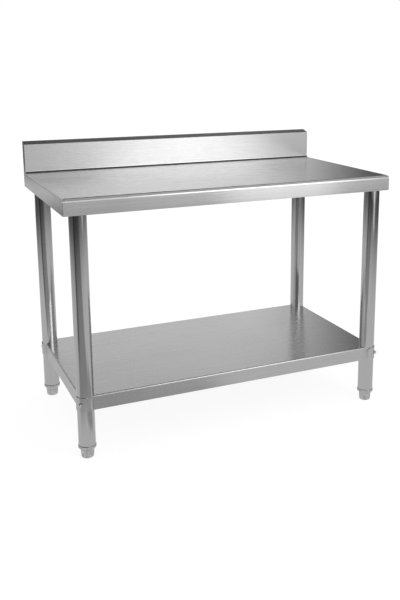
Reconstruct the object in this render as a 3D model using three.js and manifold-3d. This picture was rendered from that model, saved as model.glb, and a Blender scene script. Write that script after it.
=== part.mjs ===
// Stainless work table with a splashback, an undershelf and four round legs on screw feet.
// Millimetres, +Z up, X along the width, the front at -Y, the origin on the floor under the middle.
import * as THREE from 'three';
import { mergeVertices } from 'three/addons/utils/BufferGeometryUtils.js';
import Module from 'manifold-3d';

const wasm = await Module();
wasm.setup();

// Worktop sheet
const TOP_WIDTH = 1200;
const TOP_DEPTH = 650;
const TOP_HEIGHT = 880; // worktop surface with the feet screwed right in
const TOP_SHEET = 1.5;
const TOP_SKIRT = 55;
const FRONT_BEND = 12; // outer radius of the folded front edge
const SIDE_BEND = 6; // and of the folded side edges
const HEM_HEIGHT = 12; // edge folded back flat inside a skirt

// Splashback, folded up from the worktop sheet
const SPLASH_HEIGHT = 106;
const SPLASH_DEPTH = 38; // how far the return reaches back
const SPLASH_RISE = 11; // how far the return slopes up to the wall
const SPLASH_LIP = 16;
const COVE_RADIUS = 7;
const SPLASH_BEND = 3;
const REAR_LIP = 10; // rear skirt's lip, above the cove

// Stiffening channels
const CHANNEL_SHEET = 1.5;
const CHANNEL_HEIGHT = 25;
const CHANNEL_WEB = 60;
const CHANNEL_FLANGE = 15;
const CHANNEL_BEND = 3;
const CHANNEL_END_GAP = 1; // between a channel's end and the edge it runs up to

// Legs and what holds them under the worktop
const LEG_DIAMETER = 57;
const LEG_WALL = 1.5;
const LEG_FROM_SIDE = 52;
const LEG_FROM_FRONT = 32;
const LEG_FROM_BACK = 62;
const MOUNT_PLATE = 3;
const SPIGOT_LENGTH = 42;
const SPIGOT_WALL = 3;
const GRUB_DIAMETER = 8;
const GRUB_BELOW_PLATE = 14;
const GRUB_PROUD = 1;
const GRUB_INSIDE = 1;

// Undershelf
const SHELF_HEIGHT = 220;
const SHELF_SHEET = 1.2;
const SHELF_SKIRT = 50;
const SHELF_BEND = 5;
const SHELF_PAST_LEG = 20; // skirt face outside the leg axis
const SHELF_HEM = 10;
const SHELF_CHANNEL_WEB = 50;
const SHELF_CHANNEL_HEIGHT = 22;

// Saddle clamps that tie the shelf corners to the legs
const SADDLE_SHEET = 2.2;
const SADDLE_HEIGHT = 48;
const SADDLE_HALF_ANGLE = 65; // degrees each side of the outer diagonal
const SADDLE_CORNER = 12;
const BOLT_DIAMETER = 8;
const BOLT_HEAD_ACROSS = 13;
const BOLT_HEAD_HEIGHT = 5.3;
const WASHER_DIAMETER = 17;
const WASHER_THICKNESS = 1.6;
const CAP_ACROSS = 13;
const CAP_BASE = 3;
const CAP_DOME = 5;
const CAP_SHOULDER = 0.3; // step between the flats and the dome
const CAP_WALL = 2.4;

// Screw feet
const COLLAR_DIAMETER = 60.4;
const COLLAR_HEIGHT = 12;
const COLLAR_ROUND = 4;
const COLLAR_TOP_ROUND = 1.5;
const PLUG_LENGTH = 38;
const FOOT_HEIGHT = 34;
const FOOT_DIAMETER = 46;
const FOOT_BASE_DIAMETER = 42;
const FOOT_ROUND = 6;
const FOOT_CHAMFER = 1;
const STUD_DIAMETER = 12;
const STUD_IN_FOOT = 22;
const STUD_ABOVE_FOOT = 46;

// Fits
const CLEARANCE = 0.4; // between round pieces that slide over each other
const SEAT_GAP = 0.3; // between pieces that rest on each other
const HOLE_CLEARANCE = 0.4; // radial, round screws and bolts

// Facets
const BEND_STEPS = 4;
const CHANNEL_BEND_STEPS = 2;
const TUBE_SIDES = 48;
const PLUG_SIDES = 24; // round pieces inside the tubes
const FOOT_SIDES = 24;
const BOLT_SIDES = 12;
const DOME_STEPS = 5;
const COLLAR_STEPS = 3;
const SAME_POINT = 1e-4; // corners of neighbouring faces this close are one point
const SMALLEST_EDGE = 0.002; // shorter edges left by a cut are merged
const MARGIN = 5; // how far a cutting solid runs past what it cuts

// Places that follow from the sizes
const LEFT = -TOP_WIDTH / 2;
const RIGHT = TOP_WIDTH / 2;
const FRONT = -TOP_DEPTH / 2;
const BACK = TOP_DEPTH / 2;
const SKIRT_BOTTOM = TOP_HEIGHT - TOP_SKIRT;
const TOP_UNDERSIDE = TOP_HEIGHT - TOP_SHEET;
const SPLASH_FACE = BACK - SPLASH_DEPTH;
const SPLASH_BACK = SPLASH_FACE + TOP_SHEET;
const SPLASH_SLOPE = SPLASH_RISE / SPLASH_DEPTH;
const COVE_FRONT = SPLASH_FACE - COVE_RADIUS;
const CHANNEL_BOTTOM = TOP_UNDERSIDE - CHANNEL_HEIGHT;
const CHANNEL_HALF = CHANNEL_WEB / 2 + CHANNEL_FLANGE;

const LEG_RADIUS = LEG_DIAMETER / 2;
const LEG_BORE = LEG_RADIUS - LEG_WALL;
const LEG_X = TOP_WIDTH / 2 - LEG_FROM_SIDE;
const LEG_FRONT_Y = FRONT + LEG_FROM_FRONT;
const LEG_BACK_Y = BACK - LEG_FROM_BACK;
const INSERT_BOTTOM = FOOT_HEIGHT + SEAT_GAP;
const LEG_BOTTOM = INSERT_BOTTOM + COLLAR_HEIGHT + SEAT_GAP;
const MOUNT_BOTTOM = CHANNEL_BOTTOM - MOUNT_PLATE;
const LEG_TOP = MOUNT_BOTTOM - SEAT_GAP;
const SPIGOT_RADIUS = LEG_BORE - CLEARANCE;
const GRUB_HEIGHT = MOUNT_BOTTOM - GRUB_BELOW_PLATE;

const SHELF_BOTTOM = SHELF_HEIGHT - SHELF_SKIRT;
const SHELF_LEFT = -LEG_X - SHELF_PAST_LEG;
const SHELF_RIGHT = LEG_X + SHELF_PAST_LEG;
const SHELF_FRONT = LEG_FRONT_Y - SHELF_PAST_LEG;
const SHELF_BACK = LEG_BACK_Y + SHELF_PAST_LEG;
const BOLT_HEIGHT = SHELF_HEIGHT - SHELF_SKIRT / 2;
const NOTCH_RADIUS = LEG_RADIUS + CLEARANCE;
const SADDLE_RADIUS = NOTCH_RADIUS + SADDLE_SHEET;

const steel = { color: 0xb8babc, roughness: 0.34, metalness: 1 };
const hiddenSteel = { color: 0x9c9fa2, roughness: 0.45, metalness: 1 };
const brightSteel = { color: 0xd2d4d6, roughness: 0.15, metalness: 1 };
const footSteel = { color: 0x9d9fa1, roughness: 0.5, metalness: 1 };

// Solids and geometry

function toSolid(geometry) {
  const bare = geometry.clone();
  bare.deleteAttribute('normal');
  bare.deleteAttribute('uv');
  const merged = mergeVertices(bare, SAME_POINT);
  return new wasm.Manifold(new wasm.Mesh({
    numProp: 3,
    vertProperties: new Float32Array(merged.attributes.position.array),
    triVerts: new Uint32Array(merged.index.array),
  }));
}

function toGeometry(solid) {
  const mesh = solid.simplify(SMALLEST_EDGE).getMesh();
  const geometry = new THREE.BufferGeometry();
  geometry.setAttribute('position', new THREE.BufferAttribute(mesh.vertProperties, 3));
  geometry.setIndex(new THREE.BufferAttribute(mesh.triVerts, 1));
  const flat = geometry.toNonIndexed();
  flat.computeVertexNormals();
  return flat;
}

function union(...solids) {
  return solids.reduce((whole, next) => whole.add(next));
}

function box(x0, x1, y0, y1, z0, z1) {
  const geometry = new THREE.BoxGeometry(x1 - x0, y1 - y0, z1 - z0);
  return toSolid(geometry.translate((x0 + x1) / 2, (y0 + y1) / 2, (z0 + z1) / 2));
}

function disc(radius, z0, z1, sides = TUBE_SIDES) {
  const geometry = new THREE.CylinderGeometry(radius, radius, z1 - z0, sides);
  return toSolid(geometry.rotateX(Math.PI / 2).translate(0, 0, (z0 + z1) / 2));
}

function ring(outer, inner, z0, z1, sides = TUBE_SIDES) {
  return disc(outer, z0, z1, sides).subtract(disc(inner, z0 - MARGIN, z1 + MARGIN, sides));
}

// A round bar along local X at height z
function rod(radius, x0, x1, z, sides = BOLT_SIDES) {
  const geometry = new THREE.CylinderGeometry(radius, radius, x1 - x0, sides);
  return toSolid(geometry.rotateZ(-Math.PI / 2).translate((x0 + x1) / 2, 0, z));
}

function extrude(points, length, xAxis, yAxis, start) {
  const shape = new THREE.Shape(points.map(([u, v]) => new THREE.Vector2(u, v)));
  const geometry = new THREE.ExtrudeGeometry(shape, { depth: length, bevelEnabled: false });
  const zAxis = new THREE.Vector3().crossVectors(xAxis, yAxis);
  geometry.applyMatrix4(new THREE.Matrix4().makeBasis(xAxis, yAxis, zAxis));
  return toSolid(geometry.translate(...start));
}

const X = new THREE.Vector3(1, 0, 0);
const Y = new THREE.Vector3(0, 1, 0);
const Z = new THREE.Vector3(0, 0, 1);

// An outline of [y, z] points run along X, and one of [x, z] points run along Y
function alongX(points, x0, x1) {
  return extrude(points, x1 - x0, Y, Z, [x0, 0, 0]);
}

function alongY(points, y0, y1) {
  return extrude(points, y1 - y0, X, Z, [0, y1, 0]);
}

// A closed profile of [radius, z] points turned round Z
function lathe(profile, sides) {
  const points = profile.map(([radius, z]) => new THREE.Vector2(radius, z));
  return toSolid(new THREE.LatheGeometry(points, sides).rotateX(Math.PI / 2));
}

function arc(centreU, centreV, radius, fromDegrees, toDegrees, steps = BEND_STEPS) {
  const points = [];
  for (let i = 0; i <= steps; i += 1) {
    const angle = THREE.MathUtils.degToRad(fromDegrees + ((toDegrees - fromDegrees) * i) / steps);
    points.push([centreU + radius * Math.cos(angle), centreV + radius * Math.sin(angle)]);
  }
  return points;
}

// Folded sheet: the visible face is a path of sharp corners, the metal lies to the right of it

function direction(from, to) {
  const length = Math.hypot(to[0] - from[0], to[1] - from[1]);
  return [(to[0] - from[0]) / length, (to[1] - from[1]) / length];
}

function offsetPath(path, distance) {
  return path.map((point, i) => {
    const before = direction(path[Math.max(i - 1, 0)], path[Math.max(i, 1)]);
    const after = direction(path[Math.min(i, path.length - 2)], path[Math.min(i + 1, path.length - 1)]);
    const scale = distance / (1 + before[0] * after[0] + before[1] * after[1]);
    return [
      point[0] + (before[1] + after[1]) * scale,
      point[1] - (before[0] + after[0]) * scale,
    ];
  });
}

function turn(before, after) {
  const sine = before[0] * after[1] - before[1] * after[0];
  return Math.atan2(sine, before[0] * after[0] + before[1] * after[1]);
}

function roundPath(path, radii, steps) {
  return path.flatMap((point, i) => {
    const radius = radii[i - 1];
    if (!radius || i === path.length - 1) return [point];
    const before = direction(path[i - 1], point);
    const bend = turn(before, direction(point, path[i + 1]));
    const reach = radius * Math.tan(Math.abs(bend) / 2);
    const side = Math.sign(bend);
    const centreU = point[0] - before[0] * reach - before[1] * radius * side;
    const centreV = point[1] - before[1] * reach + before[0] * radius * side;
    const start = THREE.MathUtils.radToDeg(Math.atan2(-before[0] * side, before[1] * side));
    return arc(centreU, centreV, radius, start, start + THREE.MathUtils.radToDeg(bend), steps);
  });
}

function foldedSheet(path, radii, thickness, steps = BEND_STEPS) {
  const hiddenRadii = radii.map((radius, i) => {
    const bend = turn(direction(path[i], path[i + 1]), direction(path[i + 1], path[i + 2]));
    return Math.max(radius + Math.sign(bend) * thickness, 0);
  });
  const hidden = roundPath(offsetPath(path, thickness), hiddenRadii, steps);
  return [...roundPath(path, radii, steps), ...hidden.reverse()];
}

// Outline of a block with rounded upper corners, as wide as low..high
function roundedOutline(low, high, bottom, top, lowRadius, highRadius) {
  const upperHigh = highRadius
    ? arc(high - highRadius, top - highRadius, highRadius, 0, 90) : [[high, top]];
  const upperLow = lowRadius
    ? arc(low + lowRadius, top - lowRadius, lowRadius, 90, 180) : [[low, top]];
  return [[low, bottom], [high, bottom], ...upperHigh, ...upperLow];
}

// Block whose upper edges are rounded at the sides, the front and the back, each by its own radius
function roundedBlock(x0, x1, y0, y1, bottom, top, sideRadius, frontRadius, backRadius) {
  const frontToBack = roundedOutline(y0, y1, bottom, top, frontRadius, backRadius);
  const sideToSide = roundedOutline(x0, x1, bottom, top, sideRadius, sideRadius);
  return alongX(frontToBack, x0, x1).intersect(alongY(sideToSide, y0, y1));
}

function hatOutline(centre, top, web, flange, height) {
  const path = [
    [centre - web / 2 - flange, top],
    [centre - web / 2 + CHANNEL_SHEET, top],
    [centre - web / 2 + CHANNEL_SHEET, top - height + CHANNEL_SHEET],
    [centre + web / 2 - CHANNEL_SHEET, top - height + CHANNEL_SHEET],
    [centre + web / 2 - CHANNEL_SHEET, top],
    [centre + web / 2 + flange, top],
  ];
  const inner = CHANNEL_BEND - CHANNEL_SHEET;
  const radii = [CHANNEL_BEND, inner, inner, CHANNEL_BEND];
  return foldedSheet(path, radii, CHANNEL_SHEET, CHANNEL_BEND_STEPS);
}

// Worktop

// The hollow inside the skirts from bottom to top, inset from their outer faces
function topHollow(inset, bottom, top, back, sideRadius, frontRadius) {
  return roundedBlock(
    LEFT + inset, RIGHT - inset, FRONT + inset, back, bottom, top, sideRadius, frontRadius, 0);
}

// The side edges are folded round up to the cove, and square under the end caps
function topOuter(past, below) {
  const round = alongY(
    roundedOutline(LEFT, RIGHT, below, TOP_HEIGHT, SIDE_BEND, SIDE_BEND), FRONT - MARGIN, COVE_FRONT);
  const square = box(
    LEFT - MARGIN, RIGHT + MARGIN, COVE_FRONT - MARGIN, past, below, TOP_HEIGHT + MARGIN);
  return alongX(roundedOutline(FRONT, BACK, SKIRT_BOTTOM, TOP_HEIGHT, FRONT_BEND, 0), LEFT, RIGHT)
    .intersect(round.add(square));
}

function worktop() {
  const past = BACK + MARGIN;
  const below = SKIRT_BOTTOM - MARGIN;
  const hemTop = SKIRT_BOTTOM + HEM_HEIGHT;
  const aboveHem = topHollow(
    TOP_SHEET, hemTop, TOP_UNDERSIDE, past, SIDE_BEND - TOP_SHEET, FRONT_BEND - TOP_SHEET);
  const insideHem = topHollow(2 * TOP_SHEET, below, hemTop + MARGIN, past, 0, 0);
  const hemEnd = BACK - 2 * TOP_SHEET - SEAT_GAP;
  const behindHem = box(LEFT + TOP_SHEET, RIGHT - TOP_SHEET, hemEnd, past, below, TOP_UNDERSIDE);
  const behindCove = box(
    LEFT + TOP_SHEET, RIGHT - TOP_SHEET, COVE_FRONT, past, TOP_UNDERSIDE - MARGIN, TOP_HEIGHT + MARGIN);
  const tray = [aboveHem, insideHem, behindHem, behindCove].reduce(
    (sheet, hollow) => sheet.subtract(hollow), topOuter(past, below));
  return tray.add(splashback());
}

function splashback() {
  const path = [
    [COVE_FRONT - MARGIN, TOP_HEIGHT],
    [SPLASH_FACE, TOP_HEIGHT],
    [SPLASH_FACE, TOP_HEIGHT + SPLASH_HEIGHT],
    [BACK, TOP_HEIGHT + SPLASH_HEIGHT + SPLASH_RISE],
    [BACK, TOP_HEIGHT + SPLASH_HEIGHT + SPLASH_RISE - SPLASH_LIP],
  ];
  return alongX(foldedSheet(path, [COVE_RADIUS, SPLASH_BEND, SPLASH_BEND], TOP_SHEET), LEFT, RIGHT);
}

// Closes the end of the splashback fold, between its face, its sloping return and its lip
function splashEndCap(side) {
  const under = TOP_HEIGHT + SPLASH_HEIGHT - TOP_SHEET * Math.hypot(1, SPLASH_SLOPE) - SEAT_GAP;
  const back = BACK - TOP_SHEET;
  const reach = COVE_RADIUS + TOP_SHEET + SEAT_GAP;
  const lowest = -THREE.MathUtils.radToDeg(Math.asin(COVE_RADIUS / reach));
  const outline = [
    ...arc(COVE_FRONT, TOP_HEIGHT + COVE_RADIUS, reach, 0, lowest),
    [back, TOP_HEIGHT],
    [back, under + SPLASH_SLOPE * (SPLASH_DEPTH - TOP_SHEET) - SPLASH_BEND],
    [back - SPLASH_BEND, under + SPLASH_SLOPE * (SPLASH_DEPTH - TOP_SHEET - SPLASH_BEND)],
    [SPLASH_BACK + SPLASH_BEND, under + SPLASH_SLOPE * (TOP_SHEET + SPLASH_BEND)],
    [SPLASH_BACK + SEAT_GAP, under + SPLASH_SLOPE * TOP_SHEET - SPLASH_BEND],
  ];
  const outerFace = side * RIGHT;
  const innerFace = side * (RIGHT - TOP_SHEET);
  return alongX(outline, Math.min(outerFace, innerFace), Math.max(outerFace, innerFace));
}

// Closes the back, in one fold: a lip up the splashback, a flange, a skirt and its hem
function rearSkirt() {
  const left = LEFT + TOP_SHEET;
  const right = RIGHT - TOP_SHEET;
  const path = [
    [SPLASH_BACK + TOP_SHEET, TOP_HEIGHT + COVE_RADIUS + REAR_LIP],
    [SPLASH_BACK + TOP_SHEET, TOP_HEIGHT],
    [BACK, TOP_HEIGHT],
    [BACK, SKIRT_BOTTOM],
  ];
  const sheet = alongX(foldedSheet(path, [SPLASH_BEND - TOP_SHEET, SPLASH_BEND], TOP_SHEET), left, right);
  const hem = box(
    left, right, BACK - 2 * TOP_SHEET, BACK - TOP_SHEET / 2, SKIRT_BOTTOM, SKIRT_BOTTOM + HEM_HEIGHT);
  return sheet.add(hem);
}

// Stiffening channels under the worktop, clear of the folded edges
const CHANNEL_FRONT = FRONT + FRONT_BEND + CHANNEL_END_GAP;
const CHANNEL_BACK = BACK - 2 * TOP_SHEET - CHANNEL_END_GAP;

function crossChannel(centre) {
  const outline = hatOutline(centre, TOP_UNDERSIDE, CHANNEL_WEB, CHANNEL_FLANGE, CHANNEL_HEIGHT);
  return alongY(outline, CHANNEL_FRONT, CHANNEL_BACK);
}

function longChannel(side) {
  const outline = hatOutline(0, TOP_UNDERSIDE, CHANNEL_WEB, CHANNEL_FLANGE, CHANNEL_HEIGHT);
  const near = CHANNEL_HALF + SEAT_GAP;
  const far = LEG_X - CHANNEL_HALF - SEAT_GAP;
  return side < 0 ? alongX(outline, -far, -near) : alongX(outline, near, far);
}

// Undershelf

function legCorners() {
  return [
    { name: 'front_left', x: -LEG_X, y: LEG_FRONT_Y, angle: -0.75 * Math.PI },
    { name: 'front_right', x: LEG_X, y: LEG_FRONT_Y, angle: -0.25 * Math.PI },
    { name: 'rear_left', x: -LEG_X, y: LEG_BACK_Y, angle: 0.75 * Math.PI },
    { name: 'rear_right', x: LEG_X, y: LEG_BACK_Y, angle: 0.25 * Math.PI },
  ];
}

function shelfBlock(inset, bottom, top, radius) {
  return roundedBlock(
    SHELF_LEFT + inset, SHELF_RIGHT - inset, SHELF_FRONT + inset, SHELF_BACK - inset,
    bottom, top, radius, radius, radius,
  );
}

function shelf() {
  const outer = shelfBlock(0, SHELF_BOTTOM, SHELF_HEIGHT, SHELF_BEND);
  const hemTop = SHELF_BOTTOM + SHELF_HEM;
  const aboveHem = shelfBlock(
    SHELF_SHEET, hemTop, SHELF_HEIGHT - SHELF_SHEET, SHELF_BEND - SHELF_SHEET);
  const insideHem = shelfBlock(2 * SHELF_SHEET, SHELF_BOTTOM - MARGIN, hemTop + MARGIN, 0);
  // Round each leg a curved flange stays, as the uncut rim of the notch
  const flanges = union(...legCorners().map(({ x, y }) => (
    disc(NOTCH_RADIUS + SHELF_SHEET, SHELF_BOTTOM - 2 * MARGIN, SHELF_HEIGHT + MARGIN).translate([x, y, 0])
  )));
  let sheet = outer.subtract(aboveHem.subtract(flanges)).subtract(insideHem.subtract(flanges));
  for (const { x, y, angle } of legCorners()) {
    const notch = disc(NOTCH_RADIUS, SHELF_BOTTOM - MARGIN, SHELF_HEIGHT + MARGIN).translate([x, y, 0]);
    const hole = rod(BOLT_DIAMETER / 2 + HOLE_CLEARANCE, -LEG_DIAMETER, 0, BOLT_HEIGHT)
      .rotate([0, 0, THREE.MathUtils.radToDeg(angle)]).translate([x, y, 0]);
    sheet = sheet.subtract(notch).subtract(cornerTip(x, y)).subtract(hole);
  }
  return sheet;
}

// The sliver of sheet that the round notch leaves outside the leg
function cornerTip(x, y) {
  const outX = Math.sign(x) * (SHELF_PAST_LEG + MARGIN);
  const outY = Math.sign(y) * (SHELF_PAST_LEG + MARGIN);
  return box(
    Math.min(x, x + outX), Math.max(x, x + outX), Math.min(y, y + outY), Math.max(y, y + outY),
    SHELF_BOTTOM - MARGIN, SHELF_HEIGHT + MARGIN,
  );
}

function shelfChannel() {
  const middle = (SHELF_FRONT + SHELF_BACK) / 2;
  const outline = hatOutline(
    middle, SHELF_HEIGHT - SHELF_SHEET, SHELF_CHANNEL_WEB, CHANNEL_FLANGE, SHELF_CHANNEL_HEIGHT);
  const end = SHELF_RIGHT - SHELF_BEND - CHANNEL_END_GAP;
  return alongX(outline, -end, end);
}

// Leg pieces, round the leg axis with local +X along the outer diagonal

function leg() {
  const hole = BOLT_DIAMETER / 2 + HOLE_CLEARANCE;
  const grubHole = GRUB_DIAMETER / 2 + HOLE_CLEARANCE;
  return ring(LEG_RADIUS, LEG_BORE, LEG_BOTTOM, LEG_TOP)
    .subtract(rod(hole, -LEG_DIAMETER, LEG_DIAMETER, BOLT_HEIGHT))
    .subtract(rod(grubHole, -LEG_DIAMETER, 0, GRUB_HEIGHT));
}

function legMount() {
  const spigotBottom = MOUNT_BOTTOM - SPIGOT_LENGTH;
  const bore = disc(SPIGOT_RADIUS - SPIGOT_WALL, spigotBottom - MARGIN, MOUNT_BOTTOM, PLUG_SIDES);
  return union(
    disc(LEG_RADIUS, MOUNT_BOTTOM, CHANNEL_BOTTOM, PLUG_SIDES),
    disc(SPIGOT_RADIUS, spigotBottom, CHANNEL_BOTTOM, PLUG_SIDES),
  ).subtract(bore)
    .subtract(rod(GRUB_DIAMETER / 2 + HOLE_CLEARANCE, -LEG_DIAMETER, 0, GRUB_HEIGHT));
}

function grubScrew() {
  const inside = SPIGOT_RADIUS - SPIGOT_WALL - GRUB_INSIDE;
  return rod(GRUB_DIAMETER / 2, -LEG_RADIUS - GRUB_PROUD, -inside, GRUB_HEIGHT);
}

function saddlePlate() {
  const half = SADDLE_RADIUS * Math.sin(THREE.MathUtils.degToRad(SADDLE_HALF_ANGLE));
  const low = BOLT_HEIGHT - SADDLE_HEIGHT / 2;
  const high = low + SADDLE_HEIGHT;
  const flat = SADDLE_RADIUS
    * Math.sin(THREE.MathUtils.degToRad(SADDLE_HALF_ANGLE) - SADDLE_CORNER / SADDLE_RADIUS);
  const corner = (sideU, sideV) => {
    const centre = [sideU * flat, sideV > 0 ? high - SADDLE_CORNER : low + SADDLE_CORNER];
    return arc(0, 0, 1, 0, 90).map(([u, v]) => [
      centre[0] + sideU * u * (half - flat), centre[1] + sideV * v * SADDLE_CORNER,
    ]);
  };
  const outline = [
    ...corner(1, -1).reverse(), ...corner(1, 1), ...corner(-1, 1).reverse(), ...corner(-1, -1),
  ];
  return alongX(outline, 0, SADDLE_RADIUS + MARGIN)
    .intersect(ring(SADDLE_RADIUS, NOTCH_RADIUS, low - MARGIN, high + MARGIN))
    .subtract(rod(BOLT_DIAMETER / 2 + HOLE_CLEARANCE, 0, SADDLE_RADIUS + MARGIN, BOLT_HEIGHT));
}

const WASHER_SEAT = -(NOTCH_RADIUS + SHELF_SHEET + SEAT_GAP);
const HEAD_SEAT = WASHER_SEAT - WASHER_THICKNESS - SEAT_GAP;
const CAP_SEAT = SADDLE_RADIUS + SEAT_GAP;

function hexagon(across, x0, x1, z) {
  return rod(across / Math.sqrt(3), x0, x1, z, 6);
}

function clampBolt() {
  return union(
    rod(BOLT_DIAMETER / 2, HEAD_SEAT, CAP_SEAT + CAP_BASE, BOLT_HEIGHT),
    hexagon(BOLT_HEAD_ACROSS, HEAD_SEAT - BOLT_HEAD_HEIGHT, HEAD_SEAT, BOLT_HEIGHT),
  );
}

function clampWasher() {
  const inner = WASHER_SEAT - WASHER_THICKNESS;
  return rod(WASHER_DIAMETER / 2, inner, WASHER_SEAT, BOLT_HEIGHT, PLUG_SIDES)
    .subtract(rod(BOLT_DIAMETER / 2 + HOLE_CLEARANCE, 2 * inner, 0, BOLT_HEIGHT));
}

// Domed nut: a hexagon base with a dome that hides the end of the bolt
function capNut() {
  const base = CAP_SEAT + CAP_BASE;
  const radius = CAP_ACROSS / 2 - CAP_SHOULDER;
  const profile = [
    [0, -CAP_BASE / 2],
    [radius, -CAP_BASE / 2],
    ...arc(0, 0, 1, 0, 90, DOME_STEPS).map(([u, v]) => [u * radius, v * CAP_DOME]),
  ];
  const dome = lathe(profile, PLUG_SIDES).rotate([0, 90, 0]).translate([base, 0, BOLT_HEIGHT]);
  const bore = rod(BOLT_DIAMETER / 2 + HOLE_CLEARANCE, 0, base + CAP_DOME - CAP_WALL, BOLT_HEIGHT);
  return union(hexagon(CAP_ACROSS, CAP_SEAT, base, BOLT_HEIGHT), dome).subtract(bore);
}

// Screw foot: a collared insert in the tube, a stud, and a bullet foot on the stud

function footInsert() {
  const collar = COLLAR_DIAMETER / 2;
  const top = INSERT_BOTTOM + COLLAR_HEIGHT;
  const plug = LEG_BORE - CLEARANCE;
  const bore = STUD_DIAMETER / 2 + HOLE_CLEARANCE;
  const profile = [
    [bore, INSERT_BOTTOM],
    ...arc(collar - COLLAR_ROUND, INSERT_BOTTOM + COLLAR_ROUND, COLLAR_ROUND, -90, 0, COLLAR_STEPS),
    ...arc(collar - COLLAR_TOP_ROUND, top - COLLAR_TOP_ROUND, COLLAR_TOP_ROUND, 0, 90, 1),
    [plug, top],
    [plug, top + PLUG_LENGTH],
    [bore, top + PLUG_LENGTH],
    [bore, INSERT_BOTTOM],
  ];
  return lathe(profile, FOOT_SIDES);
}

function footStud() {
  return disc(STUD_DIAMETER / 2, FOOT_HEIGHT - STUD_IN_FOOT, FOOT_HEIGHT + STUD_ABOVE_FOOT, BOLT_SIDES);
}

function footBullet() {
  const bore = STUD_DIAMETER / 2 + HOLE_CLEARANCE;
  const boreBottom = FOOT_HEIGHT - STUD_IN_FOOT - SEAT_GAP;
  const base = FOOT_BASE_DIAMETER / 2;
  const profile = [
    [0, 0],
    ...arc(base - FOOT_ROUND, FOOT_ROUND, FOOT_ROUND, -90, 0),
    [FOOT_DIAMETER / 2, FOOT_HEIGHT - FOOT_CHAMFER],
    [FOOT_DIAMETER / 2 - FOOT_CHAMFER, FOOT_HEIGHT],
    [bore, FOOT_HEIGHT],
    [bore, boreBottom],
    [0, boreBottom],
  ];
  return lathe(profile, FOOT_SIDES);
}

// Assembly

const table = new THREE.Group();
table.name = 'work_table';

function add(parent, name, solid, finish) {
  const mesh = new THREE.Mesh(toGeometry(solid), new THREE.MeshStandardMaterial(finish));
  mesh.name = name;
  parent.add(mesh);
}

add(table, 'worktop', worktop(), steel);
add(table, 'splash_end_cap_left', splashEndCap(-1), steel);
add(table, 'splash_end_cap_right', splashEndCap(1), steel);
add(table, 'rear_skirt', rearSkirt(), steel);
add(table, 'end_channel_left', crossChannel(-LEG_X), hiddenSteel);
add(table, 'end_channel_right', crossChannel(LEG_X), hiddenSteel);
add(table, 'mid_channel', crossChannel(0), hiddenSteel);
add(table, 'long_channel_left', longChannel(-1), hiddenSteel);
add(table, 'long_channel_right', longChannel(1), hiddenSteel);
add(table, 'shelf', shelf(), steel);
add(table, 'shelf_channel', shelfChannel(), hiddenSteel);

for (const { name, x, y, angle } of legCorners()) {
  const corner = new THREE.Group();
  corner.position.set(x, y, 0);
  corner.rotation.z = angle;
  table.add(corner);
  add(corner, `leg_${name}`, leg(), steel);
  add(corner, `leg_mount_${name}`, legMount(), hiddenSteel);
  add(corner, `grub_screw_${name}`, grubScrew(), brightSteel);
  add(corner, `saddle_plate_${name}`, saddlePlate(), steel);
  add(corner, `clamp_bolt_${name}`, clampBolt(), brightSteel);
  add(corner, `clamp_washer_${name}`, clampWasher(), brightSteel);
  add(corner, `cap_nut_${name}`, capNut(), brightSteel);
  add(corner, `foot_insert_${name}`, footInsert(), footSteel);
  add(corner, `foot_stud_${name}`, footStud(), brightSteel);
  add(corner, `foot_bullet_${name}`, footBullet(), footSteel);
}

export default table;
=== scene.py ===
"""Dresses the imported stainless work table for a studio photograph."""

import math

import bmesh
import bpy
from mathutils import Matrix, Vector


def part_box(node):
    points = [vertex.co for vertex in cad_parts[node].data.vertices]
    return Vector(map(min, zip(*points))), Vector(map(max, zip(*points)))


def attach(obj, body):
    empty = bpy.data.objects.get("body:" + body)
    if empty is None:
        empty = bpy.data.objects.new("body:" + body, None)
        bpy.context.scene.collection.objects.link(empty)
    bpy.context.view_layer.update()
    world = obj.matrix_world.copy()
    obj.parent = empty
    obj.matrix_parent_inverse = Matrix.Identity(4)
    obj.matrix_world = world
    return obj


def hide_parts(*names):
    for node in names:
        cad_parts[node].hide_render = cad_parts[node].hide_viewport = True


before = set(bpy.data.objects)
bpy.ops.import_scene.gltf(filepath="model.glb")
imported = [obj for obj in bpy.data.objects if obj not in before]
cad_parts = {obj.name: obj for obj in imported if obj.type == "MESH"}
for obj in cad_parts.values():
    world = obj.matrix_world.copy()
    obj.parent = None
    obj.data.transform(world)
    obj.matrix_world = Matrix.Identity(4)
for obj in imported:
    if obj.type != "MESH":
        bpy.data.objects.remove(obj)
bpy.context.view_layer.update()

CORNERS = ("front_left", "front_right", "rear_left", "rear_right")

# Camera, from the photograph: its place in metres, its turn and tilt in radians, and its focal
# length and the shift of the frame in the photograph's pixels
CAMERA_PLACE = (-1.1142, -2.7302, 1.3091)
CAMERA_YAW = 0.433
CAMERA_PITCH = 0.213
FOCAL_PX = 798.9
OFFSET_PX = (40.0, -71.8)
FRAME_LONG_PX = 600
SENSOR = 36

# The studio that the steel mirrors. A bearing of 0 is +Y and 90 is +X, and heights are in degrees.
# Each card has its bearing, half its width, its lowest and highest edge and its strength
STUDIO_CARDS = {
    "white_sweep": (19, 12, -90, 27, 1.0),
    "front_softbox": (160, 22, -90, 36, 1.05),
    "front_left_drape": (210, 26, -90, 50, 0.2),
    "left_wall": (-92, 32, -90, 25, 0.8),
    "rear_left_wall": (-42, 20, -90, 25, 0.42),
    "rear_left_glow": (-6, 12, 1, 27, 0.85),
    "rear_right_wall": (62, 22, -90, 25, 0.5),
    "right_wall": (108, 24, -90, 25, 0.55),
    "ceiling": (100, 58, 42, 120, 0.55),
}
STUDIO_DARK = 0.03
# The even light on matt surfaces, and the background that the camera sees
MATT_LIGHT = 0.6
BACKGROUND = 1.0

FLOOR_SIZE = 60
FLOOR_HEIGHT = -0.0002
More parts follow.
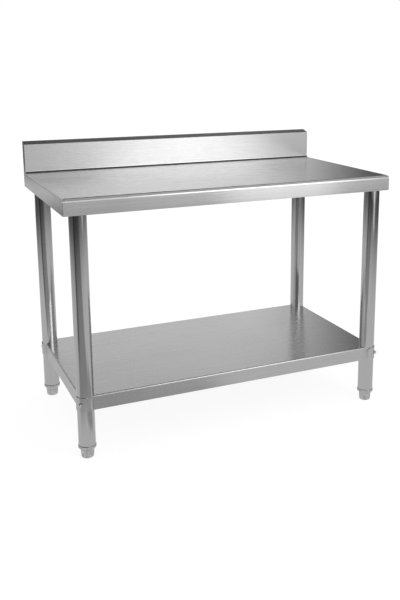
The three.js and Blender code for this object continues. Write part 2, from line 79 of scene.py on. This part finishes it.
# For the camera, the floor's colour under the lamps and its own glow
FLOOR_TONE = 0.3
FLOOR_GLOW = 0.85
# For the steel, its glow near the table and far away, each with its distance in metres
FLOOR_NEAR, FLOOR_FAR = (1.5, 0.62), (4.8, 0.08)
# Parts of the floor that lack a share of that glow. Each has its bearing, half its width, its
# nearest and farthest edge in metres and the share
FLOOR_SHADE = {
    "front_left": (221, 31, 1.0, 40, 0.5),
    "front_left_edge": (246, 8, 1.6, 40, 0.3),
    "before_shelf": (197, 22, 0.45, 1.0, 0.42),
}
# Lit parts of the floor, with their strength instead of the share
FLOOR_LIGHT = {
    "far_front_right": (155, 20, 6.0, 30, 0.75),
    "far_rear_left": (-16, 17, 4.6, 6.5, 0.8),
    "horizon_rear_left": (-12, 12, 12, 30, 0.8),
    "far_back": (32, 30, 5.0, 30, 0.25),
}
# Soft edges: degrees at the sides of every card and part, degrees above and below a card, and
# the share of its distance at the near and the far edge of a part of the floor
SIDE_BLUR = 5
CARD_BLUR = 4
FLOOR_BLUR = 0.2

# Lamps, with their place, their aim, their size and their power
LAMPS = {
    "lamp_near": ((0.4, -0.81, 0.95), (0.0, 0.3, 0.85), (0.5, 0.5), 0.15),
    "lamp_front": ((0.9, -2.0, 1.5), (0.0, 0.2, 0.85), (1.2, 1.0), 6),
    "lamp_low": ((0.83, -1.6, 0.62), (0.15, -0.33, 0.7), (0.5, 0.44), 0.36),
}

# Noise scales of the fine and of the broad grain, for brushed steel along and across the brushing
SHEET_GRAIN = ((4, 620), (1.5, 70))
TUBE_GRAIN = ((5, 600), (1.5, 60))
PLAIN_GRAIN = (900, 90)
# How much they change the steel's tone, and how much fine grain and broad patches its roughness
FINE_TONE, BROAD_TONE = 0.018, 0.008
FINE_ROUGH, PATCH_ROUGH = 0.02, 0.01
BUMP_STRENGTH, BUMP_DISTANCE = 0.012, 0.0002
# A face is brushed upwards where its normal has at least this share along X
SIDE_FACE = 0.7
# Added to a sheet's tangent, which would be zero on faces that look along X
TANGENT_NUDGE = (0, 0.01, 0)

# Where the worktop sheet is darker, in metres, with X counted from the middle to both sides: the
# cove's crease, darkened by painted shade, in Y and in Z, the corner seams outside SEAM_X, before
# SEAM_Y and between two heights, and the welds at the splashback's ends in X, above the crease
CREASE_SHADE_Y, CREASE_SHADE_Z = (0.2797, 0.2872), (0.8797, 0.8845)
SEAM_X, SEAM_Y, SEAM_Z = 0.5984, -0.3234, (0.829, 0.868)
WELD_X = (0.5898, 0.5912)
MARK_BLUR = 0.0004
# How much darker they are (the crease's darkness is painted shade), and the noise that breaks a
# seam into beads
CREASE_PAINTED_SHADE, SEAM_DARK, WELD_DARK = 0.8, 0.7, 0.14
BEAD_SCALE = (40, 40, 420)
BEAD_LOW, BEAD_HIGH = 0.42, 0.58

# Points of a mesh that are nearer than this, in metres, are one, and faces that are flatter to
# each other than this angle are joined
MERGE_DISTANCE = 5e-6
FLAT_ANGLE = math.radians(0.4)
# The rounding of edges that are sharper than the angle
EDGE_WIDTH, EDGE_STEPS = 0.0003, 2
EDGE_ANGLE = math.radians(28)

# The feet's M12 studs, in metres, with the thread's sides in a turn and rings in a pitch
STUD_RADIUS = 0.006
THREAD_PITCH = 0.00175
THREAD_DEPTH = 0.00107
THREAD_SIDES, THREAD_RINGS = 24, 8


def make_camera():
    """A camera with the photograph's place, direction and framing."""
    data = bpy.data.cameras.new("camera")
    data.sensor_width = SENSOR
    data.lens = FOCAL_PX * SENSOR / FRAME_LONG_PX
    data.shift_x = -OFFSET_PX[0] / FRAME_LONG_PX
    data.shift_y = OFFSET_PX[1] / FRAME_LONG_PX
    camera = bpy.data.objects.new("camera", data)
    bpy.context.scene.collection.objects.link(camera)
    level = math.cos(CAMERA_PITCH)
    forward = Vector((math.sin(CAMERA_YAW) * level, math.cos(CAMERA_YAW) * level,
                      -math.sin(CAMERA_PITCH)))
    right = Vector((math.cos(CAMERA_YAW), -math.sin(CAMERA_YAW), 0))
    up = right.cross(forward)
    camera.matrix_world = Matrix.Translation(CAMERA_PLACE) @ Matrix(
        (right, up, -forward)).transposed().to_4x4()
    bpy.context.scene.camera = camera


class Graph:
    """A small helper that adds and links shader nodes."""

    def __init__(self, tree):
        self.tree = tree
        tree.nodes.clear()

    def node(self, kind, **settings):
        made = self.tree.nodes.new(kind)
        for name, value in settings.items():
            setattr(made, name, value)
        return made

    def set(self, socket, value):
        """Links a socket to another one, or gives it a value."""
        if isinstance(value, bpy.types.NodeSocket):
            self.tree.links.new(value, socket)
        else:
            socket.default_value = value

    def math(self, operation, a, b=0.0, c=0.0):
        made = self.node("ShaderNodeMath", operation=operation)
        for socket, value in zip(made.inputs, (a, b, c)):
            self.set(socket, value)
        return made.outputs[0]

    def vector(self, operation, a, b=(0, 0, 0)):
        made = self.node("ShaderNodeVectorMath", operation=operation)
        self.set(made.inputs[0], a)
        self.set(made.inputs[1], b)
        one_number = operation in ("DOT_PRODUCT", "LENGTH")
        return made.outputs["Value" if one_number else "Vector"]

    def split(self, vector):
        """The vector's X, Y and Z."""
        made = self.node("ShaderNodeSeparateXYZ")
        self.set(made.inputs[0], vector)
        return made.outputs

    def noise(self, place, scale=1.0, detail=2.0):
        made = self.node("ShaderNodeTexNoise")
        self.set(made.inputs["Vector"], place)
        self.set(made.inputs["Scale"], scale)
        self.set(made.inputs["Detail"], detail)
        return made.outputs["Fac"]

    def spread(self, value, low, high, start=0.3, end=0.7, smooth=False):
        """Maps value from start..end to low..high."""
        made = self.node("ShaderNodeMapRange",
                         interpolation_type="SMOOTHSTEP" if smooth else "LINEAR")
        for socket, number in zip(made.inputs, (value, start, end, low, high)):
            self.set(socket, number)
        return made.outputs[0]

    def mix(self, factor, a, b):
        """A blend of two numbers."""
        made = self.node("ShaderNodeMix", data_type="FLOAT")
        for socket, value in zip(made.inputs[:1] + made.inputs[2:4], (factor, a, b)):
            self.set(socket, value)
        return made.outputs[0]

    def grey(self, value):
        """The same number as a colour's three channels."""
        made = self.node("ShaderNodeCombineColor")
        for socket in made.inputs:
            self.set(socket, value)
        return made.outputs[0]


def between(g, value, low, high):
    """1 where value is between low and high, 0 outside, with a soft edge."""
    rise = g.spread(value, 0, 1, low - MARK_BLUR, low + MARK_BLUR)
    fall = g.spread(value, 1, 0, high - MARK_BLUR, high + MARK_BLUR)
    return g.math("MULTIPLY", rise, fall)


def marks_and_crease_shade(g, place):
    """How dark the worktop sheet is: painted shade in its cove's crease, its corner seams and its
    end welds.
    """
    x, y, z = g.split(place)
    out = g.math("ABSOLUTE", x)
    # Painted shade: a dark band along the cove's crease
    crease_shade = g.math("MULTIPLY", between(g, y, *CREASE_SHADE_Y), between(g, z, *CREASE_SHADE_Z))
    beads = g.noise(g.vector("MULTIPLY", place, BEAD_SCALE), 1, 0)
    beads = g.spread(beads, 0, 1, BEAD_LOW, BEAD_HIGH)
    seam = g.math("MULTIPLY", between(g, out, SEAM_X, 1), between(g, y, -1, SEAM_Y))
    seam = g.math("MULTIPLY", g.math("MULTIPLY", seam, beads), between(g, z, *SEAM_Z))
    weld = g.math("MULTIPLY", between(g, out, *WELD_X), between(g, z, CREASE_SHADE_Z[1], 1))
    seams_and_shade = g.math("MAXIMUM", g.math("MULTIPLY", crease_shade, CREASE_PAINTED_SHADE),
                   g.math("MULTIPLY", seam, SEAM_DARK))
    return g.math("MAXIMUM", seams_and_shade, g.math("MULTIPLY", weld, WELD_DARK))


def drawn_out(g, place, axis, along, across):
    """Noise with one scale along an axis and another across it."""
    scales = [across, across, across]
    scales[axis] = along
    return g.noise(g.vector("MULTIPLY", place, scales))


def grain_noises(g, grain, place, normal):
    """The fine and the broad grain."""
    if grain == "tube":
        return [drawn_out(g, place, 2, *scales) for scales in TUBE_GRAIN]
    if grain == "plain":
        return [g.noise(place, scale) for scale in PLAIN_GRAIN]
    side = g.math("ABSOLUTE", g.vector("DOT_PRODUCT", normal, (1, 0, 0)))
    side = g.math("GREATER_THAN", side, SIDE_FACE)
    return [g.mix(side, drawn_out(g, place, 0, *scales), drawn_out(g, place, 2, *scales))
            for scales in SHEET_GRAIN]


def steel(name, tone, rough, anisotropic=0, grain="plain", mottle=(5, 0.012)):
    """Steel with a sheet grain (along the table), a tube grain (along a leg) or a plain one.

    mottle is the scale of the broad patches and how much they change the tone.
    """
    material = bpy.data.materials.new(name)
    material.use_nodes = True
    g = Graph(material.node_tree)
    shader = g.node("ShaderNodeBsdfPrincipled")
    out = g.node("ShaderNodeOutputMaterial")
    g.set(out.inputs["Surface"], shader.outputs[0])
    place = g.node("ShaderNodeTexCoord").outputs["Object"]
    normal = g.node("ShaderNodeNewGeometry").outputs["Normal"]
    fine, broad = grain_noises(g, grain, place, normal)
    patch_scale, patch_tone = mottle
    patches = g.noise(place, patch_scale, 1)
    shade = g.math("ADD", g.spread(fine, -FINE_TONE, FINE_TONE),
                   g.spread(broad, -BROAD_TONE, BROAD_TONE))
    shade = g.math("ADD", shade, g.spread(patches, -patch_tone, patch_tone))
    shade = g.math("ADD", shade, tone)
    if grain == "sheet":
        # Darkens the sheet by its seams and welds, and by painted shade in the cove's crease
        shade = g.math("MULTIPLY", shade, g.math("SUBTRACT", 1, marks_and_crease_shade(g, place)))
        tangent = g.vector("CROSS_PRODUCT", normal, (1, 0, 0))
        tangent = g.vector("ADD", tangent, TANGENT_NUDGE)
        g.set(shader.inputs["Tangent"], g.vector("NORMALIZE", tangent))
    g.set(shader.inputs["Base Color"], g.grey(shade))
    roughness = g.math("ADD", g.spread(fine, -FINE_ROUGH, FINE_ROUGH),
                       g.spread(patches, rough - PATCH_ROUGH, rough + PATCH_ROUGH))
    g.set(shader.inputs["Roughness"], roughness)
    shader.inputs["Metallic"].default_value = 1.0
    shader.inputs["Anisotropic"].default_value = anisotropic
    bump = g.node("ShaderNodeBump")
    bump.inputs["Strength"].default_value = BUMP_STRENGTH
    bump.inputs["Distance"].default_value = BUMP_DISTANCE
    g.set(bump.inputs["Height"], fine)
    g.set(shader.inputs["Normal"], bump.outputs[0])
    return material


def add_piece(node, mesh, body, material):
    name = node + "_finish"
    data = bpy.data.meshes.new(name)
    mesh.to_mesh(data)
    mesh.free()
    data.materials.clear()
    data.materials.append(material)
    data.shade_smooth()
    piece = bpy.data.objects.new(name, data)
    bpy.context.scene.collection.objects.link(piece)
    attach(piece, body)
    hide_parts(node)
    return piece


def dress(node, body, material):
    """The CAD node's own form with joined flat faces and slightly rounded edges."""
    mesh = bmesh.new()
    mesh.from_mesh(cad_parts[node].data)
    bmesh.ops.remove_doubles(mesh, verts=mesh.verts, dist=MERGE_DISTANCE)
    bmesh.ops.dissolve_limit(mesh, angle_limit=FLAT_ANGLE, verts=mesh.verts, edges=mesh.edges)
    piece = add_piece(node, mesh, body, material)
    bevel = piece.modifiers.new("bevel", "BEVEL")
    bevel.width = EDGE_WIDTH
    bevel.segments = EDGE_STEPS
    bevel.limit_method = "ANGLE"
    bevel.angle_limit = EDGE_ANGLE
    weighted = piece.modifiers.new("normals", "WEIGHTED_NORMAL")
    weighted.keep_sharp = True


def thread_radius(along, turn):
    """The radius of a V-shaped thread at a distance along the stud and a share of a turn."""
    phase = (along / THREAD_PITCH + turn) % 1
    return STUD_RADIUS - THREAD_DEPTH * (1 - abs(2 * phase - 1))


def threaded_stud(node, body, material):
    """A stud with a helical thread along its whole length, in the place of a CAD node."""
    low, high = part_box(node)
    middle = ((low[0] + high[0]) / 2, (low[1] + high[1]) / 2)
    length = high[2] - low[2]
    count = round(length / THREAD_PITCH * THREAD_RINGS)
    mesh = bmesh.new()
    rings = []
    for i in range(count + 1):
        along = length * i / count
        ring = []
        for j in range(THREAD_SIDES):
            turn = j / THREAD_SIDES
            radius = thread_radius(along, turn)
            angle = 2 * math.pi * turn
            ring.append(mesh.verts.new((middle[0] + radius * math.cos(angle),
                                        middle[1] + radius * math.sin(angle), low[2] + along)))
        rings.append(ring)
    for lower, upper in zip(rings, rings[1:]):
        for j in range(THREAD_SIDES):
            k = (j + 1) % THREAD_SIDES
            mesh.faces.new((lower[j], lower[k], upper[k], upper[j]))
    mesh.faces.new(list(reversed(rings[0])))
    mesh.faces.new(rings[-1])
    add_piece(node, mesh, body, material)


def bearing(g, x, y):
    """The compass direction of a point in degrees, 0 along +Y and 90 along +X."""
    return g.math("MULTIPLY", g.math("ARCTAN2", x, y), 180 / math.pi)


def soft_patches(g, angle, reach, patches, blur):
    """The summed light of soft-edged patches, each with a range of bearings and of reach.

    Reach is a height or a distance, and blur tells half the width of a soft edge from its reach.
    """
    total = 0.0
    for centre, half, near, far, strength in patches.values():
        away = g.math("ABSOLUTE", g.math("WRAP", g.math("SUBTRACT", angle, centre), 180, -180))
        light = g.spread(away, strength, 0, half - SIDE_BLUR, half + SIDE_BLUR, smooth=True)
        for edge, start, end in ((near, 0, 1), (far, 1, 0)):
            soft = blur(edge)
            window = g.spread(reach, start, end, edge - soft, edge + soft, smooth=True)
            light = g.math("MULTIPLY", light, window)
        total = g.math("ADD", total, light)
    return total


def make_world():
    """White for the camera. The steel mirrors the white sweep and the rest of the studio."""
    world = bpy.data.worlds.new("studio")
    bpy.context.scene.world = world
    world.use_nodes = True
    g = Graph(world.node_tree)
    x, y, z = g.split(g.node("ShaderNodeTexCoord").outputs["Generated"])
    height = g.math("MULTIPLY", g.math("ARCSINE", z), 180 / math.pi)
    studio = soft_patches(g, bearing(g, x, y), height, STUDIO_CARDS, lambda edge: CARD_BLUR)
    studio = g.math("ADD", studio, STUDIO_DARK)
    rays = g.node("ShaderNodeLightPath").outputs
    shiny = g.math("MAXIMUM", rays["Is Glossy Ray"], rays["Is Transmission Ray"])
    light = g.mix(shiny, MATT_LIGHT, studio)
    light = g.mix(rays["Is Camera Ray"], light, BACKGROUND)
    background = g.node("ShaderNodeBackground")
    g.set(background.inputs["Color"], g.grey(light))
    out = g.node("ShaderNodeOutputWorld")
    g.set(out.inputs["Surface"], background.outputs[0])


def floor_glow(g, place):
    """The light that the steel sees coming from the floor."""
    x, y, _ = g.split(place)
    angle = bearing(g, x, y)
    distance = g.vector("LENGTH", place)
    lit = g.spread(distance, FLOOR_NEAR[1], FLOOR_FAR[1], FLOOR_NEAR[0], FLOOR_FAR[0], smooth=True)
    shade = soft_patches(g, angle, distance, FLOOR_SHADE, lambda edge: FLOOR_BLUR * edge)
    lit = g.math("MULTIPLY", lit, g.math("SUBTRACT", 1, shade))
    light = soft_patches(g, angle, distance, FLOOR_LIGHT, lambda edge: FLOOR_BLUR * edge)
    return g.math("ADD", lit, light)


def make_floor():
    """A pale studio floor that keeps a soft shadow."""
    bpy.ops.mesh.primitive_plane_add(size=FLOOR_SIZE, location=(0, 0, FLOOR_HEIGHT))
    floor = bpy.context.object
    floor.name = "floor"
    material = bpy.data.materials.new("floor")
    material.use_nodes = True
    g = Graph(material.node_tree)
    diffuse = g.node("ShaderNodeBsdfDiffuse")
    glow = g.node("ShaderNodeEmission")
    rays = g.node("ShaderNodeLightPath").outputs
    g.set(diffuse.inputs["Color"], g.grey(g.mix(rays["Is Camera Ray"], 0.0, FLOOR_TONE)))
    lit = floor_glow(g, g.node("ShaderNodeTexCoord").outputs["Object"])
    g.set(glow.inputs["Strength"], g.mix(rays["Is Camera Ray"], lit, FLOOR_GLOW))
    both = g.node("ShaderNodeAddShader")
    g.set(both.inputs[0], diffuse.outputs[0])
    g.set(both.inputs[1], glow.outputs[0])
    out = g.node("ShaderNodeOutputMaterial")
    g.set(out.inputs["Surface"], both.outputs[0])
    floor.data.materials.append(material)


def make_lamp(name, place, aim, size, power):
    """A soft rectangular lamp that the camera does not see."""
    data = bpy.data.lights.new(name, "AREA")
    data.shape = "RECTANGLE"
    data.size, data.size_y = size
    data.energy = power
    light = bpy.data.objects.new(name, data)
    bpy.context.scene.collection.objects.link(light)
    light.location = place
    light.rotation_euler = (Vector(aim) - Vector(place)).to_track_quat("-Z", "Y").to_euler()
    light.visible_camera = False


def main():
    make_camera()
    make_world()
    make_floor()
    for name, settings in LAMPS.items():
        make_lamp(name, *settings)
    sheet = steel("sheet_steel", tone=0.61, rough=0.26, anisotropic=0.6, grain="sheet")
    channel = steel("channel_steel", tone=0.55, rough=0.34, anisotropic=0.5, grain="sheet")
    tube = steel("tube_steel", tone=0.61, rough=0.12, grain="tube")
    fastener = steel("fastener_steel", tone=0.5, rough=0.3)
    polished = steel("polished_steel", tone=0.72, rough=0.06)
    cast = steel("foot_steel", tone=0.6, rough=0.36, mottle=(150, 0.14))
    for node in ("worktop", "splash_end_cap_left", "splash_end_cap_right", "rear_skirt", "shelf"):
        dress(node, "table", sheet)
    for node in ("end_channel_left", "end_channel_right", "mid_channel", "long_channel_left",
                 "long_channel_right", "shelf_channel"):
        dress(node, "table", channel)
    for corner in CORNERS:
        dress("saddle_plate_" + corner, "table", sheet)
        dress("leg_mount_" + corner, "table", channel)
        dress("leg_" + corner, "table", tube)
        dress("grub_screw_" + corner, "table", fastener)
        dress("clamp_bolt_" + corner, "table", fastener)
        dress("clamp_washer_" + corner, "table", fastener)
        dress("cap_nut_" + corner, "table", polished)
        dress("foot_insert_" + corner, "table", cast)
        threaded_stud("foot_stud_" + corner, "stud_" + corner, fastener)
        dress("foot_bullet_" + corner, "bullet_" + corner, cast)
    bpy.context.scene.view_settings.view_transform = "Standard"


main()
